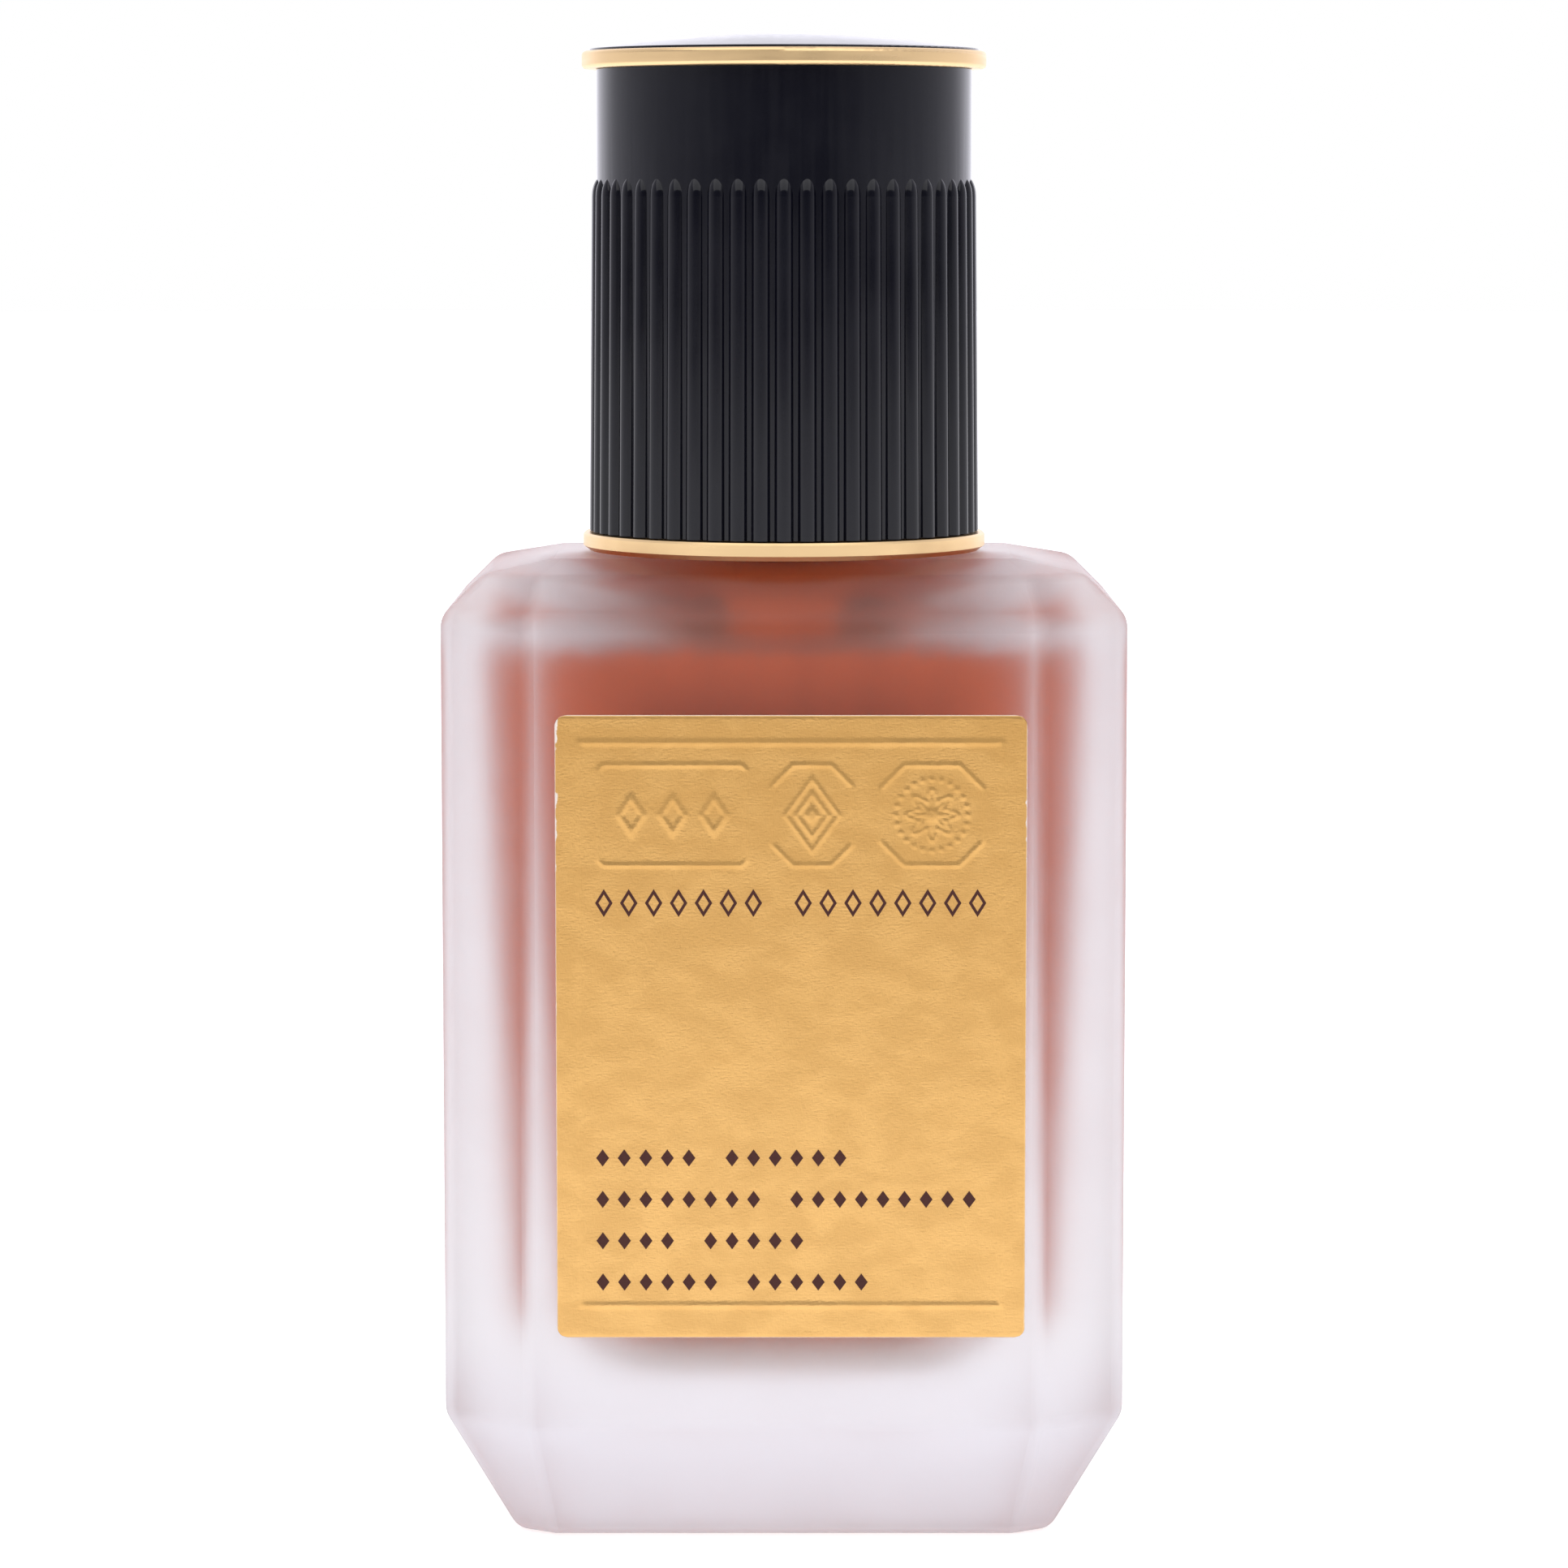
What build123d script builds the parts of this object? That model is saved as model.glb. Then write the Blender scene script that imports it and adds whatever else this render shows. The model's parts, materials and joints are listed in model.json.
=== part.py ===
"""A foundation bottle: frosted glass, a screwed-on lotion pump and a ribbed overcap.

Millimetres. The origin is the centre of the base, +Z is up, and the label faces -Y.
Every height below is measured up from the base.
"""

import os
from math import hypot

from build123d import *

# ---------------------------------------------------------------- driving dimensions

# Glass bottle: a block with cut corners, a deep bevel at its foot, one at its shoulder.
bottle_width = 49.2
bottle_depth = 34.0
corner_cut_width = 6.3
corner_cut_depth = 4.0
foot_bevel_width = 5.1
foot_bevel_height = 9.3
shoulder_bevel = 3.0
block_top = 70.2
crown_inset = 5.0
crown_rise = 0.95
foot_rounding = 1.6
edge_rounding = 2.0
push_up_size = (34.0, 18.8)
push_up_corner = 4.0
push_up_height = 0.6

# Room inside the glass, with thick walls and a thick foot.
cavity_bottom = 11.5
cavity_top = 67.2
cavity_waist = 40.0
cavity_foot_size = (32.0, 18.0)
cavity_waist_size = (35.4, 22.2)
cavity_head_size = (37.6, 25.0)
cavity_foot_rounding = 5.0
cavity_head_rounding = 3.5
throat_bottom = 66.2
throat_top = 70.4
throat_radius = 12.0
throat_lead_in = 3.0
neck_bore = 6.4
fill_level = 70.0
fill_gap = 0.08
fill_clearance = 0.3

# Screw neck. Ridge sections are (root width, tip width).
neck_radius = 8.6
neck_land = 82.2
thread_pitch = 3.175
thread_turns = 1.5
thread_start = 74.6
neck_ridge_radius = 9.6
neck_ridge_section = (1.6, 0.7)
ridge_root_depth = 0.1

# Front label.
label_width = 33.5
label_height = 44.8
label_thickness = 0.2
label_corner = 0.8
label_bottom = 15.8
label_shift = 0.5
glue_gap = 0.02

# Closure, which screws onto the neck, and the gold collar pressed over it.
closure_radius = 11.1
closure_bore = 9.9
closure_hole = 7.2
closure_bottom = 71.4
closure_ridge_radius = 8.95
closure_ridge_section = (1.5, 0.6)
closure_ridge_drop = 1.25
closure_foot_chamfer = 0.4
closure_top_chamfer = 0.6
collar_radius = 11.85
collar_bore = 11.15
collar_bottom = 71.3
collar_top = 91.2
collar_mouth = 9.3
collar_lip = 0.7
collar_top_rounding = 0.6
collar_mouth_rounding = 0.2
ring_radius = 14.76
ring_height = 1.3
ring_foot_bevel = (0.45, 0.35)
ring_edge_bevel = 0.15

# Pump engine. Its flange hangs on the neck land, with a gasket between.
seat_gap = 0.04
gasket_thickness = 0.8
gasket_bore = 5.9
flange_radius = 9.2
flange_thickness = 1.2
turret_flange_thickness = 0.9
turret_radius = 4.4
turret_height = 1.6
closure_web = 1.0
engine_radius = 5.5
engine_bottom = 76.5
engine_taper = 1.0
barrel_radius = 4.5
chamber_bore = 3.6
chamber_floor = 58.2
turret_sleeve_radius = 4.6
turret_sleeve_bottom = 79.0
vent_radius = 0.35
vent_height = 78.0
turret_chamfer = 0.4
ball_radius = 1.6
ball_centre = 54.89
valve_bottom = 53.6
valve_hole = 1.0
valve_pocket = 2.2
barrel_foot = 54.6
tail_top = 52.8
lug_reach = 1.3
lug_height = 0.8
lug_width = 0.6
tail_radius = 2.7
tail_bottom = 46.0
tail_floor = 52.0
dip_tube_radius = 1.82
dip_tube_bore = 1.25
dip_tube_bottom = 12.6
press_gap = 0.03
slide_gap = 0.08
end_gap = 0.05

# Moving core of the pump: stem, plug, piston and spring.
stem_radius = 2.9
stem_bore = 1.1
stem_top = 95.0
stem_step = 76.3
stem_stop_radius = 3.3
stem_stop_height = 1.2
stem_chamfer = 0.4
shank_radius = 1.8
shank_bottom = 72.6
plug_radius = 3.2
plug_chamfer = 0.25
plug_bottom = 70.5
plug_top = 71.5
flute_radius = 0.45
piston_height = 3.9
lip_reach = 0.75
lip_groove = 1.1
lip_tip = (0.25, 0.3)
lip_waist = (0.4, 1.5)
spring_wire = 0.35
spring_radius = 2.85
spring_turns = 6.5

# Actuator, the button on top of the stem.
button_radius = 9.0
button_wall = 0.9
button_bottom = 90.9
button_top = 99.9
button_ceiling = 97.4
button_rounding = 1.2
dish_radius = 30.0
dish_depth = 0.6
socket_radius = 4.0
socket_bore = 2.95
socket_bottom = 91.5
channel_height = 96.8
channel_radius = 0.8
channel_wall = 0.9
spout_radius = 1.3
spout_reach = 10.9
spout_root = 6.7
spout_rounding = 0.4

# Overcap: ribbed below, smooth above, with a gold rim and a domed disc on its top.
cap_bottom = 72.7
cap_band_radius = 13.7
cap_bore = 12.8
cap_ceiling = 104.6
cap_top = 106.3
boss_radius = 12.5
boss_height = 0.8
rib_count = 52
rib_radius = 0.72
rib_foot_reach = 14.3
rib_head_reach = 14.05
rib_top = 98.6
rib_tip_length = 1.5
rib_seat_depth = 0.5
liner_radius = 12.75
liner_bore = 12.05
liner_bottom = 73.4
liner_top = 97.0
grip_count = 8
grip_reach = 11.92
grip_width = 0.8
grip_bottom = 74.4
grip_top = 86.4
rim_top = 107.6
rim_rounding = 0.3
rim_gap = 0.03
disc_radius = 14.2
disc_edge_height = 0.15
disc_rounding = 0.1
disc_top = 108.9

# ---------------------------------------------------------------- derived heights

shoulder_top = block_top + crown_rise
gasket_bottom = neck_land + seat_gap
flange_bottom = gasket_bottom + gasket_thickness
flange_top = flange_bottom + flange_thickness
turret_flange_top = flange_top + turret_flange_thickness
turret_top = turret_flange_top + turret_height
closure_web_bottom = turret_flange_top + seat_gap
closure_top = closure_web_bottom + closure_web


def block_outline(height, inset):
    """The bottle's eight-sided outline at a height, moved inwards by an even inset."""
    half_width = bottle_width / 2 - inset
    half_depth = bottle_depth / 2 - inset
    slant = hypot(corner_cut_width, corner_cut_depth)
    cut_width = corner_cut_width - inset * (1 - (slant - corner_cut_width) / corner_cut_depth)
    cut_depth = corner_cut_depth - inset * (1 - (slant - corner_cut_depth) / corner_cut_width)
    quarter = [(half_width, half_depth - cut_depth), (half_width - cut_width, half_depth)]
    with BuildSketch(Plane.XY.offset(height)) as outline:
        with BuildLine():
            Polyline(
                *quarter,
                *[(-x, y) for x, y in reversed(quarter)],
                *[(-x, -y) for x, y in quarter],
                *[(x, -y) for x, y in reversed(quarter)],
                close=True,
            )
        make_face()
    return outline.sketch


def thread_ridge(root_radius, tip_radius, section, start_height):
    """A screw ridge wound around +Z, with a trapezoid section from root to tip."""
    root_width, tip_width = section
    reach = tip_radius - root_radius
    with BuildPart() as ridge:
        with BuildLine() as winding:
            Helix(
                pitch=thread_pitch,
                height=thread_turns * thread_pitch,
                radius=root_radius,
                center=(0, 0, start_height),
            )
        path = winding.line
        with BuildSketch(Plane(origin=path @ 0, x_dir=(1, 0, 0), z_dir=path % 0)):
            with BuildLine():
                Polyline(
                    (0, -root_width / 2),
                    (reach, -tip_width / 2),
                    (reach, tip_width / 2),
                    (0, root_width / 2),
                    close=True,
                )
            make_face()
        sweep(path=path, is_frenet=True)
    return ridge.part


def cavity_shape(shrink):
    """The room inside the bottle, or the same room made smaller all round by shrink."""
    throat_start = throat_radius - 2
    with BuildPart() as room:
        for height, (width, depth) in (
            (cavity_bottom + shrink, cavity_foot_size),
            (cavity_waist, cavity_waist_size),
            (cavity_top - shrink, cavity_head_size),
        ):
            with BuildSketch(Plane.XY.offset(height)):
                SlotOverall(width - 2 * shrink, depth - 2 * shrink)
        loft()
        fillet(room.edges().group_by(Axis.Z)[0], cavity_foot_rounding)
        fillet(room.edges().group_by(Axis.Z)[-1], cavity_head_rounding)
        # The throat narrows from the room's ceiling to the bore of the neck.
        with BuildSketch(Plane.XZ):
            with BuildLine():
                Polyline(
                    (0, throat_bottom - throat_lead_in),
                    (throat_start - shrink, throat_bottom - throat_lead_in),
                    (throat_radius - shrink, throat_bottom),
                    (neck_bore - shrink, throat_top),
                    (neck_bore - shrink, neck_land + 1),
                    (0, neck_land + 1),
                    close=True,
                )
            make_face()
        revolve(axis=Axis.Z)
    return room.part


# ---------------------------------------------------------------- the bottle

cavity = cavity_shape(0)
neck_ridge = thread_ridge(
    neck_radius - ridge_root_depth, neck_ridge_radius, neck_ridge_section, thread_start
)

with BuildPart() as bottle_glass:
    # Foot bevel, straight block, shoulder bevel, and the low crown under the collar.
    for bottom_outline, top_outline in (
        ((0, foot_bevel_width), (foot_bevel_height, 0)),
        ((foot_bevel_height, 0), (block_top - shoulder_bevel, 0)),
        ((block_top - shoulder_bevel, 0), (block_top, shoulder_bevel)),
        ((block_top, shoulder_bevel), (shoulder_top, shoulder_bevel + crown_inset)),
    ):
        add(block_outline(*bottom_outline))
        add(block_outline(*top_outline))
        loft(ruled=True)
    fillet(bottle_glass.edges().group_by(Axis.Z)[0], foot_rounding)
    bevel_edges = bottle_glass.edges().filter_by_position(
        Axis.Z, foot_rounding, block_top + 0.01
    )
    fillet(bevel_edges, edge_rounding)
    # The push-up under the base leaves a flat ring to stand on.
    with BuildSketch(Plane.XY):
        RectangleRounded(*push_up_size, push_up_corner)
    extrude(amount=push_up_height, taper=45, mode=Mode.SUBTRACT)
    with BuildSketch(Plane.XY.offset(block_top)):
        Circle(neck_radius)
    extrude(amount=neck_land - block_top)
    add(neck_ridge)
    add(cavity, mode=Mode.SUBTRACT)
bottle_glass.part.label = "bottle_glass"

with BuildPart() as front_label:
    # A sheet on the flat front face, a little to the right of the centre line.
    with BuildSketch(Plane.XZ.offset(bottle_depth / 2 + glue_gap)):
        with Locations((label_shift, label_bottom + label_height / 2)):
            RectangleRounded(label_width, label_height, label_corner)
    extrude(amount=label_thickness)
front_label.part.label = "front_label"

fill_room = cavity_shape(fill_gap)

with BuildPart() as foundation_fill:
    add(fill_room)
    split(bisect_by=Plane.XY.offset(fill_level), keep=Keep.BOTTOM)
    # The pump and its dip tube stand in the liquid.
    for hole_radius, hole_bottom in (
        (dip_tube_radius + fill_clearance, 0),
        (tail_radius + fill_clearance, tail_bottom - fill_clearance),
        (barrel_radius + fill_clearance, tail_floor),
    ):
        with BuildSketch(Plane.XY.offset(hole_bottom)):
            Circle(hole_radius)
        extrude(amount=neck_land, mode=Mode.SUBTRACT)
foundation_fill.part.label = "foundation_fill"

# ---------------------------------------------------------------- closure and collar

closure_ridge = thread_ridge(
    closure_bore + ridge_root_depth,
    closure_ridge_radius,
    closure_ridge_section,
    thread_start - closure_ridge_drop,
)

with BuildPart() as screw_closure:
    with BuildSketch(Plane.XZ):
        with BuildLine():
            Polyline(
                (closure_bore, closure_bottom),
                (closure_radius - closure_foot_chamfer, closure_bottom),
                (closure_radius, closure_bottom + closure_foot_chamfer),
                (closure_radius, closure_top - closure_top_chamfer),
                (closure_radius - closure_top_chamfer, closure_top),
                (closure_hole, closure_top),
                (closure_hole, closure_web_bottom),
                (closure_bore, closure_web_bottom),
                close=True,
            )
        make_face()
    revolve(axis=Axis.Z)
    add(closure_ridge)
screw_closure.part.label = "screw_closure"

with BuildPart() as collar_shell:
    # A sleeve with a flange ring at its foot and an inturned lip at its mouth.
    bevel_width, bevel_height = ring_foot_bevel
    ring_top = collar_bottom + ring_height
    with BuildSketch(Plane.XZ):
        with BuildLine():
            Polyline(
                (collar_bore, collar_bottom),
                (ring_radius - bevel_width, collar_bottom),
                (ring_radius, collar_bottom + bevel_height),
                (ring_radius, ring_top - ring_edge_bevel),
                (ring_radius - ring_edge_bevel, ring_top),
                (collar_radius, ring_top),
                (collar_radius, collar_top),
                (collar_mouth, collar_top),
                (collar_mouth, collar_top - collar_lip),
                (collar_bore, collar_top - collar_lip),
                close=True,
            )
        make_face()
    revolve(axis=Axis.Z)
    mouth_edges = collar_shell.edges().group_by(Axis.Z)[-1].sort_by(SortBy.RADIUS)
    fillet(mouth_edges[-1], collar_top_rounding)
    fillet(mouth_edges[0], collar_mouth_rounding)
collar_shell.part.label = "collar_shell"

# ---------------------------------------------------------------- pump engine

with BuildPart() as neck_gasket:
    with BuildSketch(Plane.XY.offset(gasket_bottom)):
        Circle(flange_radius)
        Circle(gasket_bore, mode=Mode.SUBTRACT)
    extrude(amount=gasket_thickness)
neck_gasket.part.label = "neck_gasket"

with BuildPart() as pump_housing:
    # Flange, upper barrel, chamber, ball valve seat and the tail for the dip tube.
    with BuildSketch(Plane.XZ):
        with BuildLine():
            Polyline(
                (flange_radius, flange_top),
                (flange_radius, flange_bottom),
                (engine_radius, flange_bottom),
                (engine_radius, engine_bottom),
                (barrel_radius, engine_bottom - engine_taper),
                (barrel_radius, barrel_foot),
                (tail_radius, tail_top),
                (tail_radius, tail_bottom),
                (dip_tube_radius + press_gap, tail_bottom),
                (dip_tube_radius + press_gap, tail_floor),
                (valve_hole, tail_floor),
                (valve_hole, valve_bottom),
                (valve_pocket, valve_bottom + valve_pocket - valve_hole),
                (valve_pocket, chamber_floor),
                (chamber_bore, chamber_floor),
                (chamber_bore, turret_sleeve_bottom),
                (turret_sleeve_radius + press_gap, turret_sleeve_bottom),
                (turret_sleeve_radius + press_gap, flange_top),
                close=True,
            )
        make_face()
    revolve(axis=Axis.Z)
    # Three lugs keep the ball in its pocket. Their roots run a little into the wall.
    lug_root = valve_pocket + 0.1
    with BuildSketch(Plane.XY.offset(chamber_floor - lug_height)):
        with PolarLocations((lug_reach + lug_root) / 2, 3):
            Rectangle(lug_root - lug_reach, lug_width)
    extrude(amount=lug_height)
    # The air vent lets the bottle breathe as it empties.
    with BuildSketch(Plane.XZ):
        with Locations((0, vent_height)):
            Circle(vent_radius)
    extrude(amount=engine_radius + 1, mode=Mode.SUBTRACT)
pump_housing.part.label = "pump_housing"

with BuildPart() as pump_turret:
    # Snapped into the housing: it guides the stem and stops it on the way up.
    turret_bore = stem_radius + slide_gap
    with BuildSketch(Plane.XZ):
        with BuildLine():
            Polyline(
                (turret_bore, turret_sleeve_bottom + seat_gap),
                (turret_sleeve_radius, turret_sleeve_bottom + seat_gap),
                (turret_sleeve_radius, flange_top + seat_gap),
                (flange_radius, flange_top + seat_gap),
                (flange_radius, turret_flange_top),
                (turret_radius, turret_flange_top),
                (turret_radius, turret_top - turret_chamfer),
                (turret_radius - turret_chamfer, turret_top),
                (turret_bore + turret_chamfer, turret_top),
                (turret_bore, turret_top - turret_chamfer),
                close=True,
            )
        make_face()
    revolve(axis=Axis.Z)
pump_turret.part.label = "pump_turret"

with BuildPart() as inlet_ball:
    with Locations((0, 0, ball_centre)):
        Sphere(ball_radius)
inlet_ball.part.label = "inlet_ball"

with BuildPart() as dip_tube:
    with BuildSketch(Plane.XY.offset(dip_tube_bottom)):
        Circle(dip_tube_radius)
        Circle(dip_tube_bore, mode=Mode.SUBTRACT)
    extrude(amount=tail_floor - end_gap - dip_tube_bottom)
    # The foot of the tube is cut on the slant, so it can't seal against the glass.
    slant = Plane((0, 0, dip_tube_bottom + dip_tube_radius), z_dir=(1, 0, 1))
    split(bisect_by=slant, keep=Keep.TOP)
dip_tube.part.label = "dip_tube"

spring_foot = chamber_floor + end_gap + spring_wire
spring_head = plug_bottom - end_gap - spring_wire

with BuildPart() as return_spring:
    with BuildLine() as coil:
        Helix(
            pitch=(spring_head - spring_foot) / spring_turns,
            height=spring_head - spring_foot,
            radius=spring_radius,
            center=(0, 0, spring_foot),
        )
    with BuildSketch(Plane(origin=coil.line @ 0, x_dir=(1, 0, 0), z_dir=coil.line % 0)):
        Circle(spring_wire)
    sweep(path=coil.line, is_frenet=True)
return_spring.part.label = "return_spring"

# ---------------------------------------------------------------- moving core

with BuildPart() as pump_stem:
    # A tube with a stop collar, and a thin shank below for the piston to slide on.
    stop_top = turret_sleeve_bottom - end_gap
    stop_bottom = stop_top - stem_stop_height
    stop_lead = stem_stop_radius - stem_radius
    with BuildSketch(Plane.XZ):
        with BuildLine():
            Polyline(
                (stem_bore, shank_bottom),
                (shank_radius, shank_bottom),
                (shank_radius, stem_step),
                (stem_radius, stem_step),
                (stem_radius, stop_bottom - stop_lead),
                (stem_stop_radius, stop_bottom),
                (stem_stop_radius, stop_top),
                (stem_radius, stop_top),
                (stem_radius, stem_top - stem_chamfer),
                (stem_radius - stem_chamfer, stem_top),
                (stem_bore, stem_top),
                close=True,
            )
        make_face()
    revolve(axis=Axis.Z)
pump_stem.part.label = "pump_stem"

with BuildPart() as stem_plug:
    # The valve head, with a fluted pin pressed up into the stem's bore.
    with BuildSketch(Plane.XY.offset(plug_bottom)):
        Circle(plug_radius)
    extrude(amount=plug_top - plug_bottom)
    chamfer(stem_plug.edges().group_by(Axis.Z)[0], plug_chamfer)
    with BuildSketch(Plane.XY.offset(plug_top)):
        Circle(stem_bore - press_gap)
        with PolarLocations(stem_bore, 3):
            Circle(flute_radius, mode=Mode.SUBTRACT)
    extrude(amount=stem_step - plug_top)
stem_plug.part.label = "stem_plug"

with BuildPart() as pump_piston:
    # A sliding ring with a feathered lip at each end, thin enough to wipe the chamber.
    piston_bottom = plug_top + press_gap
    piston_top = piston_bottom + piston_height
    piston_bore = shank_radius + end_gap
    lip_radius = chamber_bore - end_gap
    root_radius = lip_radius - lip_reach
    tip_width, tip_height = lip_tip
    waist_depth, waist_height = lip_waist
    with BuildSketch(Plane.XZ):
        with BuildLine():
            Polyline(
                (piston_bore, piston_bottom),
                (root_radius, piston_bottom),
                (root_radius, piston_bottom + lip_groove),
                (lip_radius - tip_width, piston_bottom),
                (lip_radius, piston_bottom),
                (lip_radius, piston_bottom + tip_height),
                (lip_radius - waist_depth, piston_bottom + waist_height),
                (lip_radius - waist_depth, piston_top - waist_height),
                (lip_radius, piston_top - tip_height),
                (lip_radius, piston_top),
                (lip_radius - tip_width, piston_top),
                (root_radius, piston_top - lip_groove),
                (root_radius, piston_top),
                (piston_bore, piston_top),
                close=True,
            )
        make_face()
    revolve(axis=Axis.Z)
pump_piston.part.label = "pump_piston"

# ---------------------------------------------------------------- actuator

with BuildPart() as actuator_button:
    with BuildSketch(Plane.XY.offset(button_bottom)):
        Circle(button_radius)
    extrude(amount=button_top - button_bottom)
    fillet(actuator_button.edges().group_by(Axis.Z)[-1], button_rounding)
    # A shallow dish for the fingertip.
    with Locations((0, 0, button_top - dish_depth + dish_radius)):
        Sphere(dish_radius, mode=Mode.SUBTRACT)
    # Hollow from below, around the socket that takes the stem.
    skirt_bore = button_radius - button_wall
    ceiling_bite = 0.2
    with BuildSketch(Plane.XY.offset(button_bottom)):
        Circle(skirt_bore)
    extrude(amount=button_ceiling - button_bottom, mode=Mode.SUBTRACT)
    with BuildSketch(Plane.XY.offset(socket_bottom)):
        Circle(socket_radius)
    extrude(amount=button_ceiling - socket_bottom + ceiling_bite)
    # The boss that carries the outlet channel to the front.
    with BuildSketch(Plane.XZ.offset(skirt_bore + ceiling_bite)):
        with Locations((0, channel_height)):
            Circle(spout_radius + channel_wall)
    extrude(amount=-(skirt_bore + ceiling_bite))
    with BuildSketch(Plane.XY.offset(socket_bottom)):
        Circle(socket_bore)
    extrude(amount=stem_top + end_gap - socket_bottom, mode=Mode.SUBTRACT)
    with BuildSketch(Plane.XY.offset(stem_top)):
        Circle(stem_bore)
    extrude(amount=channel_height + channel_radius - stem_top, mode=Mode.SUBTRACT)
    with BuildSketch(Plane.XZ):
        with Locations((0, channel_height)):
            Circle(channel_radius)
    extrude(amount=button_radius + 1, mode=Mode.SUBTRACT)
    with BuildSketch(Plane.XZ.offset(spout_root - end_gap)):
        with Locations((0, channel_height)):
            Circle(spout_radius + press_gap)
    extrude(amount=button_radius, mode=Mode.SUBTRACT)
actuator_button.part.label = "actuator_button"

with BuildPart() as spout_insert:
    # A short nozzle pressed into the front of the button.
    with BuildSketch(Plane.XZ.offset(spout_root)):
        with Locations((0, channel_height)):
            Circle(spout_radius)
    extrude(amount=spout_reach - spout_root)
    front_edge = spout_insert.edges().group_by(Axis.Y)[0]
    fillet(front_edge, spout_rounding)
    with BuildSketch(Plane.XZ):
        with Locations((0, channel_height)):
            Circle(channel_radius)
    extrude(amount=spout_reach + 1, mode=Mode.SUBTRACT)
spout_insert.part.label = "spout_insert"

# ---------------------------------------------------------------- overcap

rib_trim = 1.0
rib_length = rib_top - cap_bottom + rib_trim

with BuildPart() as cap_rib:
    # One rounded bar with a long, tapering tip. It starts below the cap, to be trimmed.
    with BuildSketch(Plane.XZ):
        with BuildLine():
            tip_foot = (rib_radius, rib_length - rib_tip_length)
            tip_end = (rib_radius / 5, rib_length)
            Polyline(tip_end, (0, rib_length), (0, 0), (rib_radius, 0), tip_foot)
            Spline(tip_foot, tip_end, tangents=((0, 1), (-1, 1)))
        make_face()
    revolve(axis=Axis.Z)

# Ribs lean inwards towards the top, as the moulding draft of the cap needs.
rib_plane = Plane(
    origin=(rib_foot_reach - rib_radius, 0, cap_bottom - rib_trim),
    z_dir=(rib_head_reach - rib_foot_reach, 0, rib_length),
)
leaning_rib = rib_plane.location * cap_rib.part

with BuildPart() as cap_shell:
    # The outside first: a slightly tapered foot, the smooth band and the boss on top.
    with BuildSketch(Plane.XZ):
        with BuildLine():
            Polyline(
                (0, cap_bottom),
                (rib_foot_reach - rib_seat_depth, cap_bottom),
                (cap_band_radius, rib_top - rib_tip_length),
                (cap_band_radius, cap_top),
                (boss_radius, cap_top),
                (boss_radius, cap_top + boss_height),
                (0, cap_top + boss_height),
                close=True,
            )
        make_face()
    revolve(axis=Axis.Z)
    with PolarLocations(0, rib_count):
        add(leaning_rib)
    split(bisect_by=Plane.XY.offset(cap_bottom), keep=Keep.TOP)
    with BuildSketch(Plane.XY.offset(cap_bottom)):
        Circle(cap_bore)
    extrude(amount=cap_ceiling - cap_bottom, mode=Mode.SUBTRACT)
cap_shell.part.label = "cap_shell"

with BuildPart() as cap_liner:
    # A glued-in sleeve with small upright ribs, which grip the collar.
    with BuildSketch(Plane.XY.offset(liner_bottom)):
        Circle(liner_radius)
        Circle(liner_bore, mode=Mode.SUBTRACT)
    extrude(amount=liner_top - liner_bottom)
    grip_root = liner_bore + 0.1
    with BuildSketch(Plane.XY.offset(grip_bottom)):
        with PolarLocations((grip_root + grip_reach) / 2, grip_count):
            Rectangle(grip_root - grip_reach, grip_width)
    extrude(amount=grip_top - grip_bottom)
cap_liner.part.label = "cap_liner"

with BuildPart() as cap_top_ring:
    with BuildSketch(Plane.XY.offset(cap_top + rim_gap)):
        Circle(ring_radius)
        Circle(boss_radius + end_gap, mode=Mode.SUBTRACT)
    extrude(amount=rim_top - cap_top - rim_gap)
    round_edges = cap_top_ring.edges().filter_by(GeomType.CIRCLE)
    fillet(round_edges.sort_by(SortBy.RADIUS)[-2:], rim_rounding)
cap_top_ring.part.label = "cap_top_ring"

with BuildPart() as cap_top_disc:
    # A very shallow dome with a rounded edge, located by a spigot inside the ring.
    spigot_bottom = cap_top + boss_height + end_gap
    disc_bottom = rim_top + rim_gap
    edge_top = disc_bottom + disc_edge_height
    dome_reach = disc_radius - disc_rounding
    dome_rise = disc_top - edge_top
    dome_radius = (dome_reach**2 + dome_rise**2) / (2 * dome_rise)
    with BuildSketch(Plane.XZ):
        with BuildLine():
            Polyline(
                (0, disc_top),
                (0, spigot_bottom),
                (boss_radius, spigot_bottom),
                (boss_radius, disc_bottom),
                (disc_radius, disc_bottom),
                (disc_radius, edge_top - disc_rounding),
            )
            TangentArc(
                (disc_radius, edge_top - disc_rounding),
                (disc_radius - disc_rounding, edge_top),
                tangent=(0, 1),
            )
            RadiusArc((disc_radius - disc_rounding, edge_top), (0, disc_top), -dome_radius)
        make_face()
    revolve(axis=Axis.Z)
cap_top_disc.part.label = "cap_top_disc"

# ---------------------------------------------------------------- write the files

pieces = (
    bottle_glass,
    front_label,
    foundation_fill,
    screw_closure,
    collar_shell,
    neck_gasket,
    pump_housing,
    pump_turret,
    inlet_ball,
    dip_tube,
    return_spring,
    pump_stem,
    stem_plug,
    pump_piston,
    actuator_button,
    spout_insert,
    cap_shell,
    cap_liner,
    cap_top_ring,
    cap_top_disc,
)

os.makedirs("parts", exist_ok=True)
for piece in pieces:
    export_step(piece.part, f"parts/{piece.part.label}.step")
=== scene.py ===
"""Looks, light and camera for the foundation bottle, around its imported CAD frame.

Metres. The origin is the centre of the base, +Z is up, and the label faces -Y.
"""

import json
import math

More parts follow.
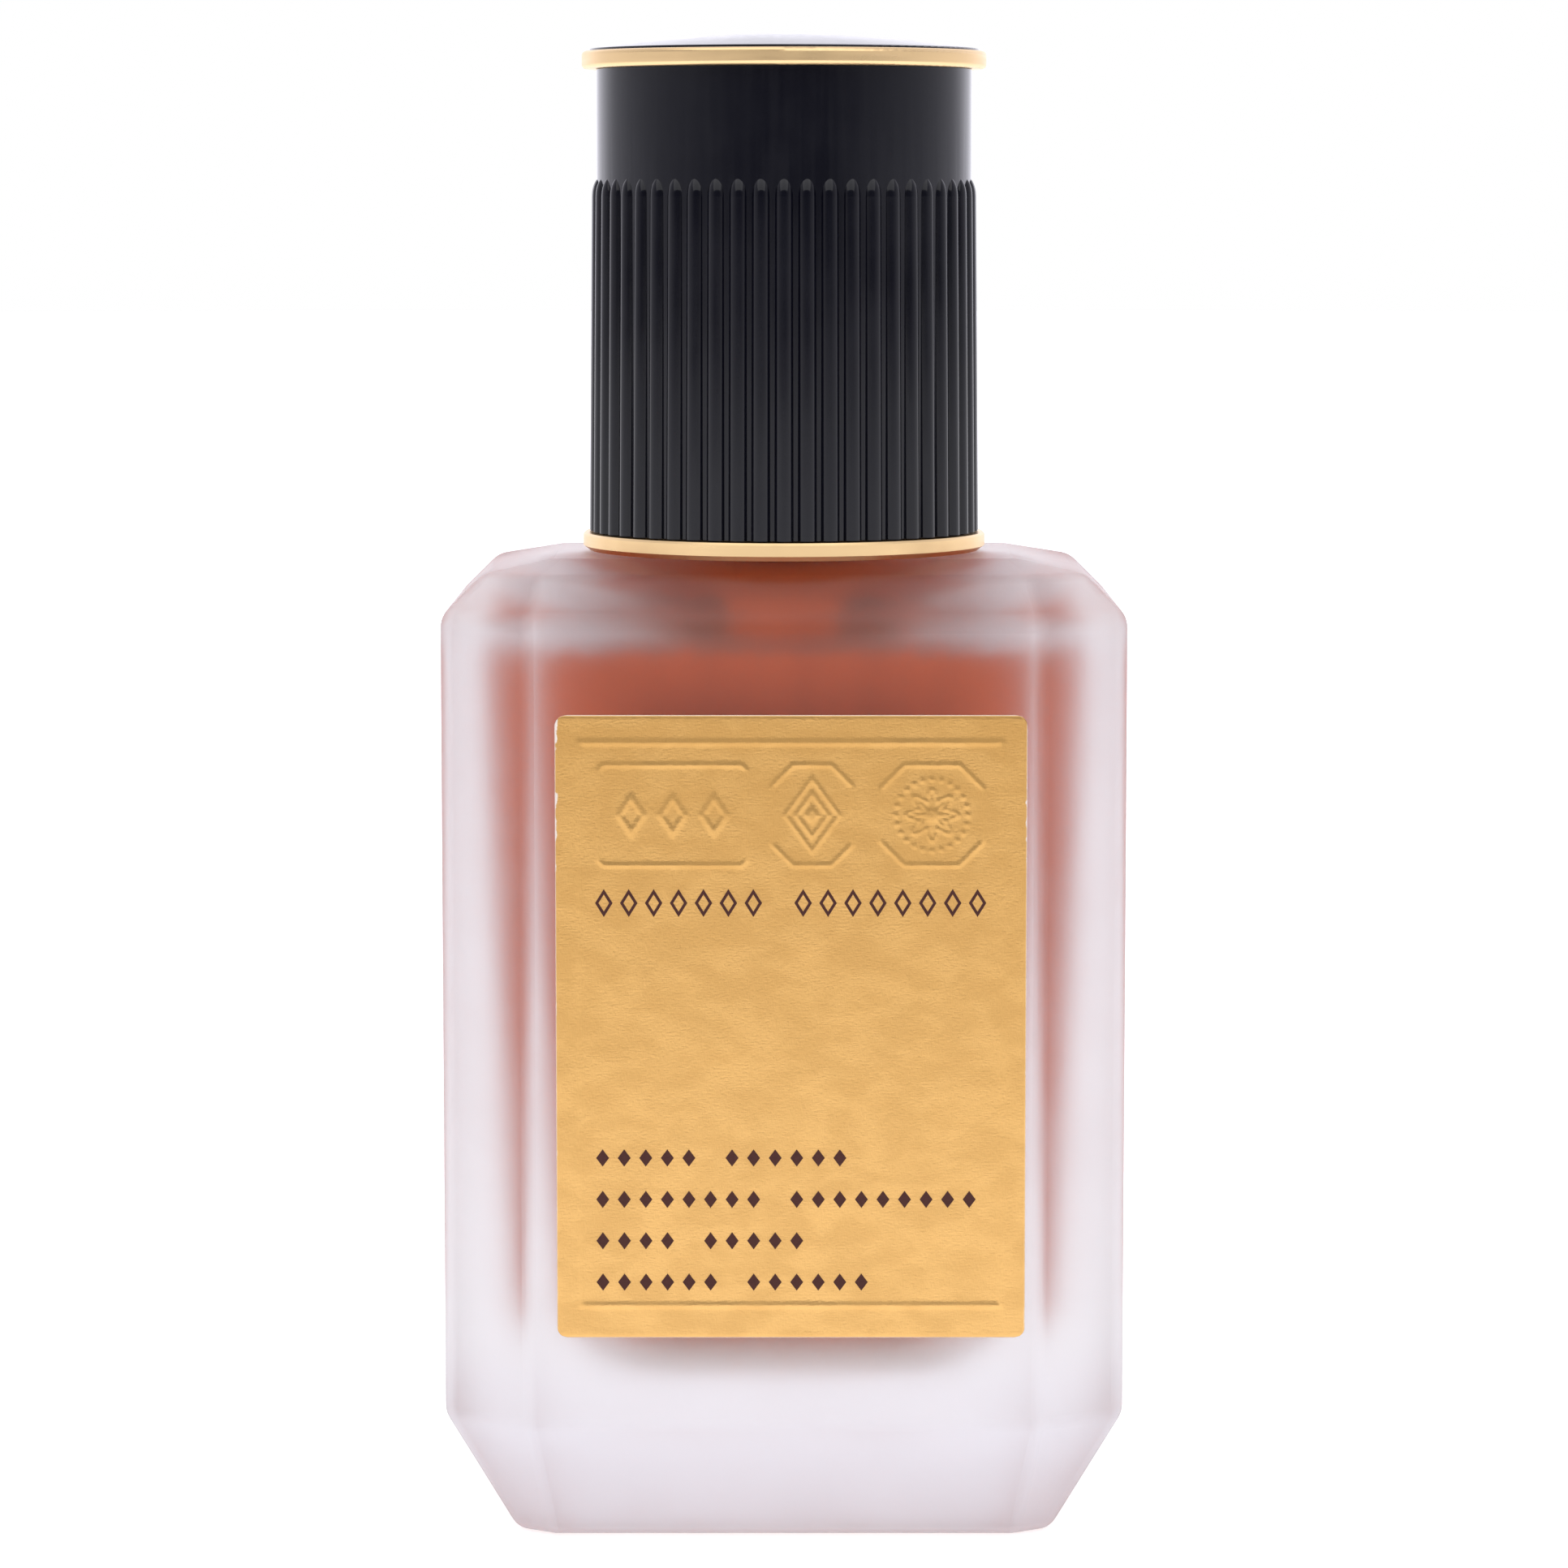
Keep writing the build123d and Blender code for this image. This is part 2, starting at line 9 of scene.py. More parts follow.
import bmesh
import bpy
import numpy as np
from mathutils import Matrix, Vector


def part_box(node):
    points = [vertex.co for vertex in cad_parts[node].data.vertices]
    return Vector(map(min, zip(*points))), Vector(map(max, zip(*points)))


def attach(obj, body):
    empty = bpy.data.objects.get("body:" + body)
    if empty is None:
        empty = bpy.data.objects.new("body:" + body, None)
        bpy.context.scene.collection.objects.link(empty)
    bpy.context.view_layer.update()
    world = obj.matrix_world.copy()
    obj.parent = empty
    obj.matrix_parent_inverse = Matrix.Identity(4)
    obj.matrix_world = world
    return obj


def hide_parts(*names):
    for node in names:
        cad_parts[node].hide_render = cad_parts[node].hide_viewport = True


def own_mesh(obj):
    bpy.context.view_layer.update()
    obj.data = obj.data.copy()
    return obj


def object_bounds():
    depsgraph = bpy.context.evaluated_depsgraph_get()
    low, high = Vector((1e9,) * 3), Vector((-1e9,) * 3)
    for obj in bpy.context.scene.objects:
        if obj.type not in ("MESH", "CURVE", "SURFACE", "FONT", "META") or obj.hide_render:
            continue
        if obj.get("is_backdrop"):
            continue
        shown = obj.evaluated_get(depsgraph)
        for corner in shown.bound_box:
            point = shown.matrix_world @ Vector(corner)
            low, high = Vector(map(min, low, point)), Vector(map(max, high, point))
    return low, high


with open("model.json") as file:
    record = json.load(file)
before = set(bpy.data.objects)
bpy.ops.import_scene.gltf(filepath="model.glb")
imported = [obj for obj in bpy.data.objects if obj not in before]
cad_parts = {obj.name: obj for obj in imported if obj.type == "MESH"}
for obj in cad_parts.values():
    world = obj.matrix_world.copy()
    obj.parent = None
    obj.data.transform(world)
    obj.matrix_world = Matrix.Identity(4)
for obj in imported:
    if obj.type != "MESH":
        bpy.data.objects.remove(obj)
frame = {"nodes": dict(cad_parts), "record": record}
cad_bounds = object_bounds()

MM = 0.001

# ---------------------------------------------------------------- materials

NATURAL_WHITE = (0.80, 0.79, 0.76, 1)
FOIL_GOLD = (0.79, 0.475, 0.165, 1)
# The darker foil colour serves both the foil's random mottling and the painted shade towards the
# label's top.
FOIL_DEEP_AND_SHADED = (0.61, 0.345, 0.105, 1)
PAPER = (0.82, 0.74, 0.66, 1)
INK = (0.048, 0.014, 0.012, 1)


class Paint:
    """A Principled material in the making, with short ways to add its pattern nodes."""

    def __init__(self, name, **values):
        self.material = bpy.data.materials.new(name)
        self.material.use_nodes = True
        self.tree = self.material.node_tree
        self.shader = self.tree.nodes["Principled BSDF"]
        self.place = self.node("TexCoord").outputs["Object"]
        for socket, value in values.items():
            self.set(socket.replace("_", " ").title().replace("Ior", "IOR"), value)

    def put(self, socket, value):
        """Sets an input to a plain value, or links another node's output to it."""
        if isinstance(value, bpy.types.NodeSocket):
            self.tree.links.new(value, socket)
        else:
            socket.default_value = value

    def set(self, socket, value):
        self.put(self.shader.inputs[socket], value)

    def node(self, kind, inputs=(), **settings):
        made = self.tree.nodes.new("ShaderNode" + kind)
        for key, value in settings.items():
            setattr(made, key, value)
        for key, value in dict(inputs).items():
            self.put(made.inputs[key], value)
        return made

    def calc(self, operation, *values):
        made = self.node("Math", enumerate(values), operation=operation)
        return made.outputs[0]

    def stretched(self, stretch):
        """The surface's own coordinates, scaled along X, Y and Z."""
        return self.node("Mapping", {"Vector": self.place, "Scale": stretch}).outputs[0]

    def noise(self, size, detail=2.0, stretch=(1, 1, 1), distortion=0.0):
        """Soft noise from 0 to 1, with features about size metres wide."""
        made = self.node(
            "TexNoise",
            {
                "Vector": self.stretched(stretch),
                "Scale": 1 / size,
                "Detail": detail,
                "Distortion": distortion,
            },
        )
        return made.outputs["Fac"]

    def span(self, value, low, high, to_low=0.0, to_high=1.0):
        """value, carried from low..high to to_low..to_high and held at the ends."""
        made = self.node(
            "MapRange",
            {0: value, 1: low, 2: high, 3: to_low, 4: to_high},
            interpolation_type="SMOOTHSTEP",
        )
        return made.outputs[0]

    def blend(self, share, first, second):
        made = self.node("Mix", data_type="RGBA")
        self.put(made.inputs[0], share)
        self.put(made.inputs[6], first)
        self.put(made.inputs[7], second)
        return made.outputs[2]

    def bump(self, height, depth, strength=1.0):
        """Relief of the given depth in metres where height goes from 0 to 1."""
        made = self.node(
            "Bump", {"Height": height, "Distance": depth, "Strength": strength}
        )
        self.set("Normal", made.outputs[0])


def frosted_glass():
    """Acid-etched clear glass: even, milky, with the faintest grain."""
    paint = Paint(
        "frosted_glass",
        base_color=(0.67, 0.66, 0.665, 1),
        transmission_weight=1.0,
        ior=1.5,
    )
    cloud = paint.noise(9 * MM, detail=3)
    paint.set("Roughness", paint.span(cloud, 0.3, 0.7, 0.46, 0.52))
    paint.bump(paint.noise(0.35 * MM, detail=1), 0.004 * MM)
    return paint.material


def foundation_liquid(foot):
    """Skin-coloured liquid with slow streaks, painted paler and peachier near its foot as a painted
    glow.
    """
    paint = Paint("foundation_liquid", roughness=0.35, specular_ior_level=0.05)
    streaks = paint.noise(4 * MM, detail=3, stretch=(1, 1, 0.25), distortion=0.4)
    share = paint.span(streaks, 0.3, 0.7)
    body = paint.blend(share, (0.75, 0.138, 0.041, 1), (0.84, 0.158, 0.048, 1))
    height = paint.node("SeparateXYZ", {0: paint.place}).outputs[2]
    # Painted glow: the foot is painted peach, standing in for light scattered up through the glass
    # base.
    painted_foot_glow = paint.span(height, foot, foot + 6 * MM, 1.0, 0.0)
    paint.set("Base Color", paint.blend(painted_foot_glow, body, (0.95, 0.50, 0.34, 1)))
    paint.bump(streaks, 0.05 * MM, 0.4)
    return paint.material


def label_foil(low, high):
    """Satin gold foil on laid paper, rubbed through to the paper along its edges."""
    paint = Paint("label_foil", metallic=0.9)
    weave_x = paint.noise(0.12 * MM, detail=2, stretch=(1, 1, 0.35))
    weave_z = paint.noise(0.14 * MM, detail=2, stretch=(0.35, 1, 1))
    linen = paint.calc("ADD", weave_x, weave_z)
    blotch = paint.noise(3.4 * MM, detail=3, stretch=(1, 1, 1.7), distortion=0.3)
    share = paint.span(blotch, 0.3, 0.7)
    place = paint.node("SeparateXYZ", {0: paint.place})
    # The foil is painted darker towards its top. This is painted shade of how the light falls, laid
    # over the foil's own random mottling.
    painted_top_shade = paint.span(place.outputs[2], low.z, high.z, 0.85, 0.15)
    mottle_and_shade = paint.calc("ADD", painted_top_shade, paint.span(share, 0, 1, -0.11, 0.11))
    foil = paint.blend(mottle_and_shade, FOIL_DEEP_AND_SHADED, FOIL_GOLD)
    # How far a point is from the sheet's sides, and from its top and bottom.
    beside = paint.calc(
        "MINIMUM",
        paint.calc("SUBTRACT", place.outputs[0], low.x),
        paint.calc("SUBTRACT", high.x, place.outputs[0]),
    )
    below = paint.calc(
        "MINIMUM",
        paint.calc("SUBTRACT", place.outputs[2], low.z),
        paint.calc("SUBTRACT", high.z, place.outputs[2]),
    )
    # The sides are rubbed in ragged patches near the top, the rest in a hair line.
    ragged = paint.noise(0.8 * MM, detail=4, stretch=(1, 1, 0.6))
    patches = paint.span(ragged, 0.48, 0.68, 0.0, 0.24 * MM)
    upper = paint.span(place.outputs[2], high.z - 16 * MM, high.z - 3 * MM, 0.25, 1.0)
    rubbed = paint.calc("SUBTRACT", paint.calc("MULTIPLY", patches, upper), beside)
    hair = paint.calc("SUBTRACT", 0.04 * MM, paint.calc("MINIMUM", beside, below))
    worn = paint.span(paint.calc("MAXIMUM", rubbed, hair), -0.05 * MM, 0.07 * MM)
    paint.set("Base Color", paint.blend(worn, foil, PAPER))
    paint.set("Metallic", paint.span(worn, 0, 1, 0.9, 0.0))
    paint.set("Roughness", paint.span(share, 0, 1, 0.44, 0.36))
    paint.bump(linen, 0.017 * MM, 0.9)
    return paint.material


def label_paper():
    """The cut edge and the back of the label."""
    paint = Paint("label_paper", roughness=0.8)
    fibre = paint.noise(0.12 * MM, detail=3)
    paint.set("Base Color", paint.blend(fibre, PAPER, (0.90, 0.84, 0.78, 1)))
    paint.bump(fibre, 0.01 * MM)
    return paint.material


def label_ink():
    """Dark printing ink, a little uneven."""
    paint = Paint("label_ink", roughness=0.5, specular_ior_level=0.2)
    press = paint.noise(0.25 * MM, detail=2)
    paint.set("Base Color", paint.blend(press, INK, (0.080, 0.026, 0.020, 1)))
    paint.bump(press, 0.004 * MM)
    return paint.material


def gold_metal():
    """Polished gold plating with fine turning marks round the axis."""
    paint = Paint("gold_metal", metallic=1.0, base_color=(0.87, 0.62, 0.325, 1))
    marks = paint.noise(0.8 * MM, detail=3, stretch=(0.08, 0.08, 2.5))
    bloom = paint.noise(3 * MM, detail=3)
    paint.set("Roughness", paint.span(paint.calc("ADD", marks, bloom), 0.6, 1.4, 0.26, 0.36))
    paint.bump(marks, 0.003 * MM, 0.5)
    return paint.material


def black_plastic():
    """Glossy black moulding: a hint of blue, faint haze and a few hairlines."""
    paint = Paint("black_plastic", ior=1.42)
    haze = paint.noise(6 * MM, detail=4)
    hair = paint.noise(0.7 * MM, detail=2, stretch=(1, 1, 0.06))
    paint.set("Base Color", paint.blend(haze, (0.0022, 0.0024, 0.0055, 1), (0.0036, 0.0038, 0.0078, 1)))
    paint.set("Roughness", paint.span(paint.calc("ADD", haze, hair), 0.6, 1.4, 0.08, 0.15))
    paint.bump(hair, 0.0015 * MM, 0.6)
    return paint.material


def natural_plastic():
    """Milky polypropylene, slightly waxy."""
    paint = Paint(
        "natural_plastic",
        subsurface_weight=0.35,
        subsurface_radius=(1.0, 0.9, 0.8),
        subsurface_scale=0.6 * MM,
        ior=1.49,
    )
    cloud = paint.noise(2.2 * MM, detail=3)
    paint.set("Base Color", paint.blend(cloud, NATURAL_WHITE, (0.86, 0.855, 0.83, 1)))
    paint.set("Roughness", paint.span(cloud, 0.3, 0.7, 0.32, 0.42))
    paint.bump(paint.noise(0.3 * MM, detail=2), 0.006 * MM, 0.5)
    return paint.material


def gasket_foam():
    """Fine closed-cell foam between two skins."""
    paint = Paint("gasket_foam", roughness=0.75)
    cells = paint.node("TexVoronoi", {"Vector": paint.place, "Scale": 1 / (0.22 * MM)})
    depth = paint.span(cells.outputs["Distance"], 0, 0.8)
    # The cell hollows are painted darker: painted shade in the pits that the bump also sinks.
    paint.set("Base Color", paint.blend(depth, (0.62, 0.61, 0.58, 1), (0.84, 0.83, 0.80, 1)))
    paint.bump(depth, 0.03 * MM)
    return paint.material


def polished_steel():
    """Drawn and polished stainless steel."""
    paint = Paint("polished_steel", metallic=1.0)
    drawn = paint.noise(0.25 * MM, detail=3, stretch=(1, 1, 3))
    paint.set("Base Color", paint.blend(drawn, (0.55, 0.55, 0.56, 1), (0.72, 0.72, 0.73, 1)))
    paint.set("Roughness", paint.span(drawn, 0.3, 0.7, 0.16, 0.28))
    paint.bump(drawn, 0.004 * MM, 0.5)
    return paint.material


# Each of the record's material slots, and the function that paints it.
slot_materials = {
    "frosted_glass": frosted_glass(),
    "foundation": foundation_liquid(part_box("foundation_fill")[0].z),
    "gold_metal": gold_metal(),
    "black_plastic": black_plastic(),
    "natural_plastic": natural_plastic(),
    "gasket_foam": gasket_foam(),
    "steel": polished_steel(),
}

for subpart in frame["record"]["subparts"]:
    finish = slot_materials.get(subpart["material_slot"])
    if finish:
        for material_slot in frame["nodes"][subpart["node"]].material_slots:
            material_slot.material = finish

# ---------------------------------------------------------------- mesh helpers


def link_piece(name, mesh, materials, smooth=True):
    """Puts a mesh into the scene as a new piece."""
    for polygon in mesh.polygons:
        polygon.use_smooth = smooth
    for each in materials:
        mesh.materials.append(each)
    made = bpy.data.objects.new(name, mesh)
    bpy.context.scene.collection.objects.link(made)
    return made


def mesh_piece(name, points, faces, materials, smooth=True):
    """A new piece from points and faces."""
    mesh = bpy.data.meshes.new(name)
    mesh.from_pydata([tuple(point) for point in points], [], faces)
    mesh.update()
    return link_piece(name, mesh, materials, smooth)


# ---------------------------------------------------------------- the liquid


LIQUID_GROWTH = 0.10 * MM
WELD_DISTANCE = 0.001 * MM


def swollen_copy(node, name, growth, finish):
    """A CAD node's shape as a new piece, grown outwards until it wets the glass."""
    form = bmesh.new()
    form.from_mesh(frame["nodes"][node].data)
    bmesh.ops.remove_doubles(form, verts=form.verts, dist=WELD_DISTANCE)
    form.normal_update()
    for vertex in form.verts:
        vertex.co += vertex.normal * growth
    mesh = bpy.data.meshes.new(name)
    form.to_mesh(mesh)
    form.free()
    return link_piece(name, mesh, [finish])


liquid = swollen_copy("foundation_fill", "liquid_body", LIQUID_GROWTH, slot_materials["foundation"])
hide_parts("foundation_fill")
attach(liquid, "bottle")

# ---------------------------------------------------------------- the label

# Distances on the label are millimetres from its left and top edges.
RELIEF_HEIGHT = 0.065 * MM
RELIEF_STEP = 0.125 * MM
WAVE_HEIGHT = 0.02 * MM
EDGE_DROP = 0.05 * MM
EDGE_ROUNDING = 0.18
CORNER_RADIUS = 0.8 * MM
PRINT_RAISE = 0.035 * MM
PRINT_DEPTH = 0.05 * MM
FRAME_BOX = (1.75, 31.75, 1.95, 42.45)
FRAME_WIDTH = 0.62
PANEL_LINE = 0.5
PANEL_TOP, PANEL_BOTTOM = 3.55, 10.7
# Each panel's left and right ends, and how much its corners are cut.
PANELS = ((3.1, 13.6), (15.4, 21.1), (23.1, 30.4))
PANEL_CUTS = (0.35, 1.5, 1.7)
ROW_LOZENGE = (1.25, 1.9)
NESTED_LOZENGE = (1.9, 2.6)
ROSETTE_REACH = 2.55
ROSETTE_BEADS = 24


def step(value):
    """Smooth rise from 0 to 1."""
    held = np.clip(value, 0, 1)
    return held * held * (3 - 2 * held)


def ridge(distance, width):
    """A rounded ridge along the line where distance is 0."""
    return step(1 - np.abs(distance) / (width / 2))


def cut_box(across, down, half_width, half_height, cut):
    """How far a point is outside a rectangle with cut corners, about its centre."""
    beside = np.abs(across) - half_width
    below = np.abs(down) - half_height
    corner = (np.abs(across) + np.abs(down) - half_width - half_height + cut) / math.sqrt(2)
    return np.maximum(np.maximum(beside, below), corner)


def lozenge(across, down, half_width, half_height):
    """How far a point is outside a lozenge, about its centre."""
    slope = half_width * half_height / math.hypot(half_width, half_height)
    return (np.abs(across) / half_width + np.abs(down) / half_height - 1) * slope


def rosette(across, down, reach):
    """An eight-petalled flower in a ring of beads."""
    radius = np.hypot(across, down)
    angle = np.arctan2(down, across)
    petals = ridge(radius - reach * (0.56 + 0.16 * np.cos(8 * angle)), 0.42)
    heart = step((0.24 * reach - radius) / 0.3)
    veins = ridge(np.sin(4 * angle) * radius / 4, 0.16) * step((0.5 * reach - radius) / 0.2)
    sector = 2 * math.pi / ROSETTE_BEADS
    turned = (angle + sector / 2) % sector - sector / 2
    bead = step(1 - np.hypot(radius * np.cos(turned) - reach, radius * np.sin(turned)) / 0.26)
    return np.maximum.reduce([petals, heart, veins * 0.7, bead])


def label_relief(across, down):
    """Height of the embossing, from 0 to 1, at points on the label."""
    left, right, top, bottom = FRAME_BOX
    middle = ((left + right) / 2, (top + bottom) / 2)
    parts = [
        ridge(
            cut_box(across - middle[0], down - middle[1], (right - left) / 2, (bottom - top) / 2, 0),
            FRAME_WIDTH,
        )
    ]
    panel_middle = (PANEL_TOP + PANEL_BOTTOM) / 2
    panel_half = (PANEL_BOTTOM - PANEL_TOP) / 2
    for cut, (start, end) in zip(PANEL_CUTS, PANELS):
        outline = cut_box(
            across - (start + end) / 2, down - panel_middle, (end - start) / 2, panel_half, cut
        )
        parts.append(ridge(outline, PANEL_LINE))
    # First panel: a row of three raised lozenges.
    start, end = PANELS[0]
    for share in (0.22, 0.5, 0.78):
        off = lozenge(across - start - share * (end - start), down - panel_middle, *ROW_LOZENGE)
        parts.append(np.maximum(step(-off / 0.35) * 0.9 - 0.9 * step((-off - 0.42) / 0.2), 0))
    # Second panel: lozenges inside each other.
    start, end = PANELS[1]
    off = lozenge(across - (start + end) / 2, down - panel_middle, *NESTED_LOZENGE)
    parts += [ridge(off, 0.45), ridge(off + 0.62, 0.4), step((-off - 1.0) / 0.3)]
    # Third panel: the rosette.
    start, end = PANELS[2]
    parts.append(rosette(across - (start + end) / 2, down - panel_middle, ROSETTE_REACH))
    return np.maximum.reduce(parts)


def paper_waves(across, down):
    """Slow unevenness of the sheet, from a few crossed waves with fixed directions."""
    random = np.random.default_rng(11)
    height = np.zeros_like(across)
    for _ in range(14):
        direction, phase = random.uniform(0, 2 * math.pi, 2)
        length = random.uniform(2.2, 7.0)
        along = across * math.cos(direction) + down * math.sin(direction)
        height += np.sin(2 * math.pi * along / length + phase) * length / 7
    return height / 14


def front_label():
    """The label: an embossed front on a fine grid, cut edges and a flat back."""
    low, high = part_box("front_label")
    width, height = high.x - low.x, high.z - low.z
    columns = round(width / RELIEF_STEP) + 1
    rows = round(height / RELIEF_STEP) + 1
    down = np.linspace(0, height, rows)
    # Rows near the top and bottom are shorter, so that the corners come out round.
    depth = np.clip(CORNER_RADIUS - np.minimum(down, height - down), 0, None)
    inset = CORNER_RADIUS - np.sqrt(CORNER_RADIUS**2 - depth**2)
    share = np.linspace(-1, 1, columns)
    across = width / 2 + share[None, :] * (width / 2 - inset[:, None])
    down = np.repeat(down[:, None], columns, axis=1)
    rise = label_relief(across / MM, down / MM) * RELIEF_HEIGHT
    rise += paper_waves(across / MM, down / MM) * WAVE_HEIGHT
    edge = np.minimum.reduce([across, width - across, down, height - down]) / MM
    rise -= (1 - step(edge / EDGE_ROUNDING)) * EDGE_DROP
    front = np.stack([low.x + across, low.y - rise, high.z - down], axis=-1).reshape(-1, 3)
    index = np.arange(rows * columns).reshape(rows, columns)
    faces = np.stack(
        [index[:-1, :-1], index[1:, :-1], index[1:, 1:], index[:-1, 1:]], axis=-1
    ).reshape(-1, 4)
    rim = np.concatenate(
        [index[:-1, 0], index[-1, :-1], index[:0:-1, -1], index[0, :0:-1]]
    )
    back = front[rim].copy()
    back[:, 1] = high.y
    behind = len(front) + np.arange(len(rim))
    walls = np.stack([rim, behind, np.roll(behind, -1), np.roll(rim, -1)], axis=-1)
    made = mesh_piece(
        "label_sheet",
        np.concatenate([front, back]),
        faces.tolist() + walls.tolist() + [behind[::-1].tolist()],
        [label_foil(low, high), label_paper()],
    )
    for polygon in made.data.polygons[len(faces):]:
        polygon.material_index = 1
        polygon.use_smooth = False
    return made


def prism(points, faces, outline, hole, front, back):
    """Adds one printed mark: an outline, with or without a hole, as a thin solid."""
    start, count = len(points), len(outline)
    for level in (front, back):
        for loop in (outline, hole) if hole else (outline,):
            points += [(x, level, z) for x, z in loop]
    if not hole:
        faces.append([start + i for i in range(count)])
        faces.append([start + count + i for i in reversed(range(count))])
        for i in range(count):
            j = (i + 1) % count
            faces.append([start + i, start + count + i, start + count + j, start + j])
        return
    outer_front, inner_front, outer_back, inner_back = (start + count * k for k in range(4))
    for i in range(count):
        j = (i + 1) % count
        for a, b in (
            (outer_front, inner_front),
            (inner_front, inner_back),
            (inner_back, outer_back),
            (outer_back, outer_front),
        ):
            faces.append([a + i, a + j, b + j, b + i])


# Printed rows: height of the middle, left end, pitch, marks in each group, half sizes, stroke.
TITLE_ROW = (13.4, 3.45, 1.77, (7, 8), (0.62, 1.0), 0.24)
TEXT_ROWS = (
    (31.75, 3.3, 1.54, (5, 6), (0.46, 0.62), 0),
    (34.75, 3.3, 1.54, (8, 9), (0.46, 0.62), 0),
    (37.75, 3.3, 1.54, (4, 5), (0.46, 0.62), 0),
    (40.75, 3.3, 1.54, (6, 6), (0.46, 0.62), 0),
)


def label_marks():
    """Rows of printed lozenges, where a label carries its wording."""
    low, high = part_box("front_label")
    points, faces = [], []
    front, back = low.y - PRINT_RAISE, low.y + PRINT_DEPTH
    for down, start, pitch, groups, (half_width, half_height), stroke in (TITLE_ROW, *TEXT_ROWS):
        cell = 0
        for group in groups:
            for _ in range(group):
                x = low.x + (start + cell * pitch) * MM
                z = high.z - down * MM
                loops = []
                for inset in (0, stroke) if stroke else (0,):
                    w = (half_width - inset) * MM
                    h = (half_height - inset * half_height / half_width) * MM
                    loops.append([(x + w, z), (x, z + h), (x - w, z), (x, z - h)])
                prism(points, faces, loops[0], loops[1] if stroke else None, front, back)
                cell += 1
            cell += 1
    return mesh_piece("label_print", points, faces, [label_ink()], smooth=False)


label = front_label()
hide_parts("front_label")
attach(label, "bottle")

marks = label_marks()
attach(marks, "bottle")

# ---------------------------------------------------------------- the return spring

WIRE_RADIUS = 0.35 * MM
SPRING_TURNS = 7.5
CLOSED_TURNS = 1.0
SPRING_SIDES = 14
SPRING_STEPS = 48


def return_spring():
    """A compression spring with a closed coil at each end."""
    low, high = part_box("return_spring")
    radius = high.x - WIRE_RADIUS
    foot, head = low.z + WIRE_RADIUS, high.z - WIRE_RADIUS
    closed_height = CLOSED_TURNS * 2 * WIRE_RADIUS
    count = int(SPRING_TURNS * SPRING_STEPS) + 1
    turn = np.linspace(0, SPRING_TURNS, count)
    pitch = (head - foot - 2 * closed_height) / (SPRING_TURNS - 2 * CLOSED_TURNS)
    z = np.interp(
        turn,
        [0, CLOSED_TURNS, SPRING_TURNS - CLOSED_TURNS, SPRING_TURNS],
        [foot, foot + closed_height, head - closed_height, head],
    )
    angle = 2 * math.pi * turn
    outwards = np.stack([np.cos(angle), np.sin(angle), np.zeros(count)], axis=-1)
    slope = np.full(count, pitch / (2 * math.pi * radius))
    along = np.stack([-np.sin(angle), np.cos(angle), slope], axis=-1)
    along /= np.linalg.norm(along, axis=1)[:, None]
    sideways = np.cross(outwards, along)
    centre = outwards * radius
    centre[:, 2] = z
    around = np.linspace(0, 2 * math.pi, SPRING_SIDES, endpoint=False)
    rings = (
        centre[:, None, :]
        + WIRE_RADIUS * np.cos(around)[None, :, None] * outwards[:, None, :]
        + WIRE_RADIUS * np.sin(around)[None, :, None] * sideways[:, None, :]
    )
    index = np.arange(count * SPRING_SIDES).reshape(count, SPRING_SIDES)
    beside = np.roll(index, -1, axis=1)
    faces = np.stack([index[:-1], beside[:-1], beside[1:], index[1:]], axis=-1).reshape(-1, 4)
    ends = [index[0][::-1].tolist(), index[-1].tolist()]
    return mesh_piece(
        "coil_spring", rings.reshape(-1, 3), faces.tolist() + ends, [slot_materials["steel"]]
    )


spring = return_spring()
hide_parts("return_spring")
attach(spring, "pump_unit")
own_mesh(spring)

# ---------------------------------------------------------------- floor and light


FLOOR_RADIUS = 4.0
FLOOR_GAP = 0.02 * MM
FLOOR_GLOW = 0.70
SURROUNDINGS_TINT = (0.94, 0.93, 1.02)


